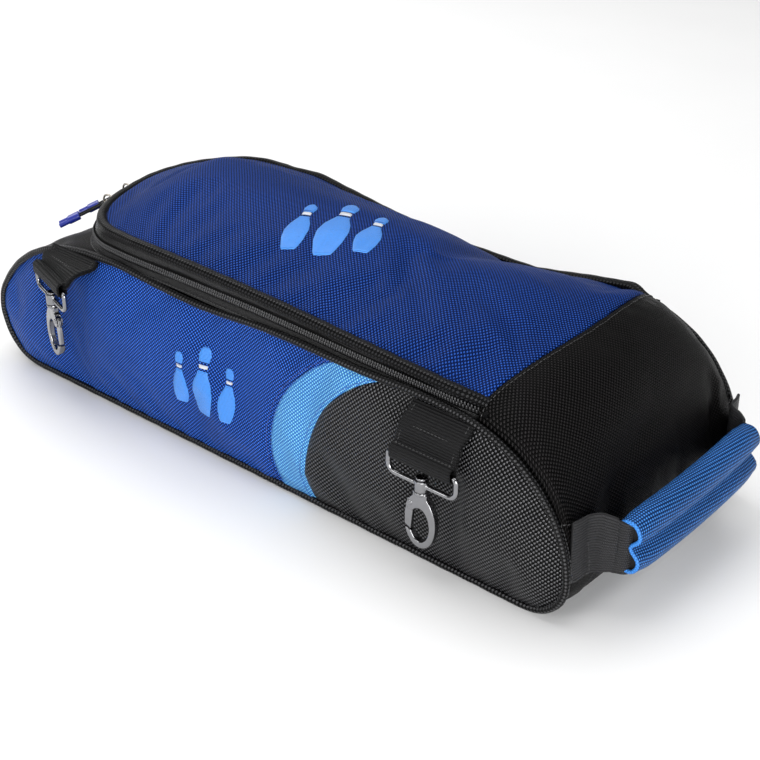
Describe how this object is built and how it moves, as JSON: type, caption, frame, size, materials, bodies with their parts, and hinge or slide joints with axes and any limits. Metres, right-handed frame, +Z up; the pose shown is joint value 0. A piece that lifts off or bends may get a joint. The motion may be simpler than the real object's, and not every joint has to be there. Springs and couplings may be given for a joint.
{
  "type": "rolling bowling bag shoe compartment",
  "caption": "Padded clip-on shoe bag of a rolling bowling bag, with a zipped lid, four swivel snap hooks and a wrapped carry handle.",
  "frame": {"origin": "on the resting face of the back panel, under the middle of the sewn body", "axes": "+X along the bag from the nose to the carry handle, +Y to the left side seen from behind, +Z up from the resting face"},
  "size_m": [0.57, 0.2538, 0.1573],
  "materials": {
    "ballistic_black": "woven ballistic nylon, coated back, soft sheen",
    "ballistic_blue": "woven ballistic nylon, royal blue, soft sheen",
    "ballistic_light_blue": "woven ballistic nylon, light blue",
    "tape_black": "smooth woven tape",
    "welt_black": "textured piping fabric",
    "zip_coil": "nylon coil",
    "webbing_black": "ribbed nylon webbing",
    "board": "extruded sheet",
    "nickel": "polished nickel plate",
    "steel_spring": "drawn wire",
    "cord_black": "braided cord",
    "pull_blue": "moulded, satin"
  },
  "bodies": {
    "shell": {"back_panel": "ballistic_black", "base_board": "board", "end_gusset": "tape_black", "handle_end_panel": "ballistic_black", "lower_boxing": "tape_black", "lower_zip_tape": "tape_black", "lower_zip_coil": "zip_coil", "zip_stops": "webbing_black", "right_side_blue": "ballistic_blue", "right_side_band": "ballistic_light_blue", "right_side_black": "ballistic_black", "right_piping": "welt_black", "right_handle_anchor": "webbing_black", "left_side_blue": "ballistic_blue", "left_side_band": "ballistic_light_blue", "left_side_black": "ballistic_black", "left_piping": "welt_black", "left_handle_anchor": "webbing_black", "right_nose_strap": "webbing_black", "right_handle_strap": "webbing_black", "left_nose_strap": "webbing_black", "left_handle_strap": "webbing_black"},
    "lid": {"lid_panel": "ballistic_blue", "lid_boxing": "tape_black", "lid_welt": "welt_black", "upper_zip_tape": "tape_black", "upper_zip_coil": "zip_coil"},
    "right_slider": {"right_zip_slider": "nickel"},
    "right_pull": {"right_pull_ring": "nickel", "right_pull_cord": "cord_black", "right_pull_tip": "pull_blue"},
    "left_slider": {"left_zip_slider": "nickel"},
    "left_pull": {"left_pull_ring": "nickel", "left_pull_cord": "cord_black", "left_pull_tip": "pull_blue"},
    "right_nose_bail": {"right_nose_bail": "nickel"},
    "right_nose_hook": {"right_nose_hook": "nickel", "right_nose_gate_pin": "nickel", "right_nose_gate_spring": "steel_spring"},
    "right_nose_gate": {"right_nose_gate": "nickel"},
    "right_handle_bail": {"right_handle_bail": "nickel"},
    "right_handle_hook": {"right_handle_hook": "nickel", "right_handle_gate_pin": "nickel", "right_handle_gate_spring": "steel_spring"},
    "right_handle_gate": {"right_handle_gate": "nickel"},
    "left_nose_bail": {"left_nose_bail": "nickel"},
    "left_nose_hook": {"left_nose_hook": "nickel", "left_nose_gate_pin": "nickel", "left_nose_gate_spring": "steel_spring"},
    "left_nose_gate": {"left_nose_gate": "nickel"},
    "left_handle_bail": {"left_handle_bail": "nickel"},
    "left_handle_hook": {"left_handle_hook": "nickel", "left_handle_gate_pin": "nickel", "left_handle_gate_spring": "steel_spring"},
    "left_handle_gate": {"left_handle_gate": "nickel"},
    "handle": {"handle_webbing": "webbing_black", "handle_wrap": "ballistic_light_blue"}
  },
  "joints": [
    {"name": "lid_fold", "type": "hinge", "parent": "shell", "child": "lid", "pos_m": [0.2005, 0, 0.1478], "axis": [0, 1, 0], "range_deg": [0, 105]},
    {"name": "right_slider_travel", "type": "hinge", "parent": "shell", "child": "right_slider", "pos_m": [-0.073, 0, 0.12758], "axis": [0.008, 0, 1], "range_deg": [0, 9]},
    {"name": "right_pull_swing", "type": "hinge", "parent": "right_slider", "child": "right_pull", "pos_m": [-0.20275, -0.03672, 0.12862], "axis": [-0.2723, 0.9622, 0.0022], "range_deg": [0, 76]},
    {"name": "left_slider_travel", "type": "hinge", "parent": "shell", "child": "left_slider", "pos_m": [-0.073, 0, 0.12758], "axis": [0.008, 0, 1], "range_deg": [-34, 0]},
    {"name": "left_pull_swing", "type": "hinge", "parent": "left_slider", "child": "left_pull", "pos_m": [-0.20711, -0.0141, 0.12866], "axis": [-0.1045, 0.9945, 0.0008], "range_deg": [0, 76]},
    {"name": "right_nose_bail_swing", "type": "hinge", "parent": "shell", "child": "right_nose_bail", "pos_m": [-0.183, -0.1155, 0.096], "axis": [-0.9511, 0.309, 0], "range_deg": [0, 140]},
    {"name": "right_nose_swivel", "type": "hinge", "parent": "right_nose_bail", "child": "right_nose_hook", "pos_m": [-0.183, -0.1155, 0.0816], "axis": [0, 0, 1], "continuous": true},
    {"name": "right_nose_gate_press", "type": "hinge", "parent": "right_nose_hook", "child": "right_nose_gate", "pos_m": [-0.17596, -0.11779, 0.0665], "axis": [0.309, 0.9511, 0], "range_deg": [0, 24], "stiffness_Nm_per_rad": 0.01, "springref_deg": -11.46},
    {"name": "right_handle_bail_swing", "type": "hinge", "parent": "shell", "child": "right_handle_bail", "pos_m": [0.166, -0.1155, 0.0845], "axis": [-1, 0, 0], "range_deg": [0, 140]},
    {"name": "right_handle_swivel", "type": "hinge", "parent": "right_handle_bail", "child": "right_handle_hook", "pos_m": [0.166, -0.1155, 0.0701], "axis": [0, 0, 1], "continuous": true},
    {"name": "right_handle_gate_press", "type": "hinge", "parent": "right_handle_hook", "child": "right_handle_gate", "pos_m": [0.1586, -0.1155, 0.055], "axis": [0, -1, 0], "range_deg": [0, 24], "stiffness_Nm_per_rad": 0.01, "springref_deg": -11.46},
    {"name": "left_nose_bail_swing", "type": "hinge", "parent": "shell", "child": "left_nose_bail", "pos_m": [-0.183, 0.1155, 0.096], "axis": [0.9511, 0.309, 0], "range_deg": [0, 140]},
    {"name": "left_nose_swivel", "type": "hinge", "parent": "left_nose_bail", "child": "left_nose_hook", "pos_m": [-0.183, 0.1155, 0.0816], "axis": [0, 0, 1], "continuous": true},
    {"name": "left_nose_gate_press", "type": "hinge", "parent": "left_nose_hook", "child": "left_nose_gate", "pos_m": [-0.19004, 0.11321, 0.0665], "axis": [0.309, -0.9511, 0], "range_deg": [0, 24], "stiffness_Nm_per_rad": 0.01, "springref_deg": -11.46},
    {"name": "left_handle_bail_swing", "type": "hinge", "parent": "shell", "child": "left_handle_bail", "pos_m": [0.166, 0.1155, 0.0845], "axis": [1, 0, 0], "range_deg": [0, 140]},
    {"name": "left_handle_swivel", "type": "hinge", "parent": "left_handle_bail", "child": "left_handle_hook", "pos_m": [0.166, 0.1155, 0.0701], "axis": [0, 0, 1], "continuous": true},
    {"name": "left_handle_gate_press", "type": "hinge", "parent": "left_handle_hook", "child": "left_handle_gate", "pos_m": [0.1734, 0.1155, 0.055], "axis": [0, 1, 0], "range_deg": [0, 24], "stiffness_Nm_per_rad": 0.01, "springref_deg": -11.46},
    {"name": "handle_fold", "type": "hinge", "parent": "shell", "child": "handle", "pos_m": [0.27, 0, 0.054], "axis": [0, -1, 0], "range_deg": [-20, 35]}
  ]
}
